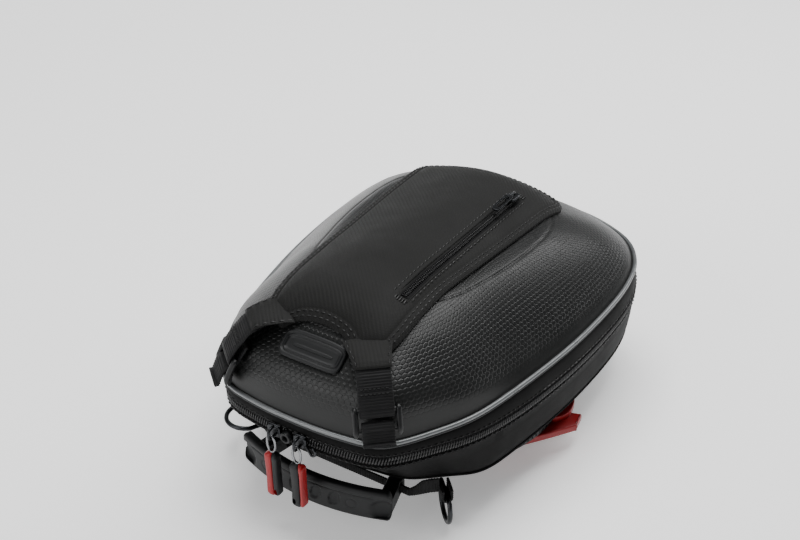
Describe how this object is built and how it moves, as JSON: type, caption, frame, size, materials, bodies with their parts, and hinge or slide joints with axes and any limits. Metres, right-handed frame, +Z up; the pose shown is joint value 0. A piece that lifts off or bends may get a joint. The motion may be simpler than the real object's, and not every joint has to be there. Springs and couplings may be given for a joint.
{
  "type": "motorcycle tank bag",
  "caption": "Soft-shell motorcycle tank bag with a zipped moulded lid, strapped cover panel, carry handle and a quick-release lock base that clips to a tank ring.",
  "frame": {"origin": "centre of the flat underside of the lock base's hub, where the bag meets the tank ring", "axes": "+X to the rider's right, +Y towards the rider along the bag's length, +Z up"},
  "size_m": [0.2261, 0.3145, 0.1513],
  "materials": {
    "eva_shell": "satin embossed film over moulded foam",
    "fabric": "coated woven polyester",
    "webbing": "ribbed webbing",
    "plastic": "moulded nylon",
    "rubber": "moulded rubber",
    "coil": "nylon zip coil",
    "reflective": "silver reflective piping",
    "gunmetal": "gunmetal plate",
    "steel": "bright wire",
    "red_plastic": "red moulded plastic",
    "clear_film": "clear flexible film"
  },
  "bodies": {
    "tray": {"lower_tray": "fabric", "zip_coil_lower": "coil", "lock_eye": "plastic", "rear_hinge_strip": "fabric", "base_board": "plastic", "clamp_plate": "gunmetal", "base_screw_1": "steel", "base_screw_2": "steel", "base_screw_3": "steel", "base_screw_4": "steel", "lock_base": "plastic", "plug_ring": "plastic", "lock_hub": "plastic", "lever_pin": "steel", "tongue_spring": "steel", "front_webbing": "webbing", "ring_tab_left": "webbing", "ring_tab_right": "webbing"},
    "lid": {"upper_shell": "eva_shell", "piping": "reflective", "upper_band": "fabric", "zip_coil_upper": "coil", "window_frame": "fabric", "window_pane": "clear_film", "badge_patch": "rubber", "strap_stub_left": "webbing", "strap_stub_right": "webbing"},
    "cover": {"cover_panel": "fabric", "strap_left": "webbing", "strap_right": "webbing", "buckle_left": "plastic", "buckle_right": "plastic", "pocket_zip": "coil"},
    "pocket_slider": {"pocket_slider": "gunmetal"},
    "pocket_pull": {"pocket_pull": "gunmetal"},
    "slider_left": {"slider_left": "gunmetal"},
    "slider_right": {"slider_right": "gunmetal"},
    "pull_left": {"pull_wire_left": "steel", "pull_fob_left": "red_plastic"},
    "pull_right": {"pull_wire_right": "steel", "pull_fob_right": "rubber"},
    "lever": {"release_lever": "red_plastic"},
    "tongue": {"lock_tongue": "plastic"},
    "handle": {"handle": "rubber"},
    "ring_left": {"d_ring_left": "gunmetal"},
    "ring_right": {"d_ring_right": "gunmetal"}
  },
  "joints": [
    {"name": "lid_hinge", "type": "hinge", "parent": "tray", "child": "lid", "pos_m": [0, 0.1542, 0.0695], "axis": [-1, 0, 0], "range_deg": [0, 95]},
    {"name": "cover_lift", "type": "hinge", "parent": "lid", "child": "cover", "pos_m": [0, 0.1065, 0.128], "axis": [-1, 0, 0], "range_deg": [0, 100]},
    {"name": "pocket_slider_travel", "type": "slide", "parent": "cover", "child": "pocket_slider", "axis": [0.0071, -0.9984, 0.056], "range_m": [0, 0.118]},
    {"name": "pocket_pull_swing", "type": "hinge", "parent": "pocket_slider", "child": "pocket_pull", "pos_m": [0.03175, 0.05488, 0.14812], "axis": [-1, 0, 0], "range_deg": [0, 140]},
    {"name": "slider_left_travel", "type": "hinge", "parent": "tray", "child": "slider_left", "pos_m": [0, 0.121, 0.075], "axis": [0, 0, 1], "range_deg": [-7, 0]},
    {"name": "slider_right_travel", "type": "hinge", "parent": "tray", "child": "slider_right", "pos_m": [0, 0.121, 0.075], "axis": [0, 0, 1], "range_deg": [0, 8]},
    {"name": "pull_left_swing", "type": "hinge", "parent": "slider_left", "child": "pull_left", "pos_m": [-0.014, -0.15559, 0.074], "axis": [-1, 0, 0], "range_deg": [-8, 80]},
    {"name": "pull_right_swing", "type": "hinge", "parent": "slider_right", "child": "pull_right", "pos_m": [0.005, -0.1559, 0.074], "axis": [-1, 0, 0], "range_deg": [-8, 80]},
    {"name": "lever_pull", "type": "hinge", "parent": "tray", "child": "lever", "pos_m": [0.066, -0.034, 0.0205], "axis": [0, 0, -1], "range_deg": [0, 18], "stiffness_Nm_per_rad": 0.35, "springref_deg": -8.59},
    {"name": "tongue_slide", "type": "slide", "parent": "tray", "child": "tongue", "axis": [-1, 0, 0], "range_m": [0, 0.006], "deforming": ["tongue_spring"]},
    {"name": "handle_swing", "type": "hinge", "parent": "tray", "child": "handle", "pos_m": [0, -0.108, 0.023], "axis": [-1, 0, 0], "range_deg": [-25, 5]},
    {"name": "ring_left_swing", "type": "hinge", "parent": "tray", "child": "ring_left", "pos_m": [-0.072, -0.098, 0.0236], "axis": [0.6899, -0.7239, 0], "range_deg": [-8, 90]},
    {"name": "ring_right_swing", "type": "hinge", "parent": "tray", "child": "ring_right", "pos_m": [0.0735, -0.097, 0.0236], "axis": [0.695, -0.719, 0], "range_deg": [-70, 70]}
  ],
  "couplings": [
    {"joint": "tongue_slide", "follows": "lever_pull", "m_per_rad": 0.019}
  ]
}
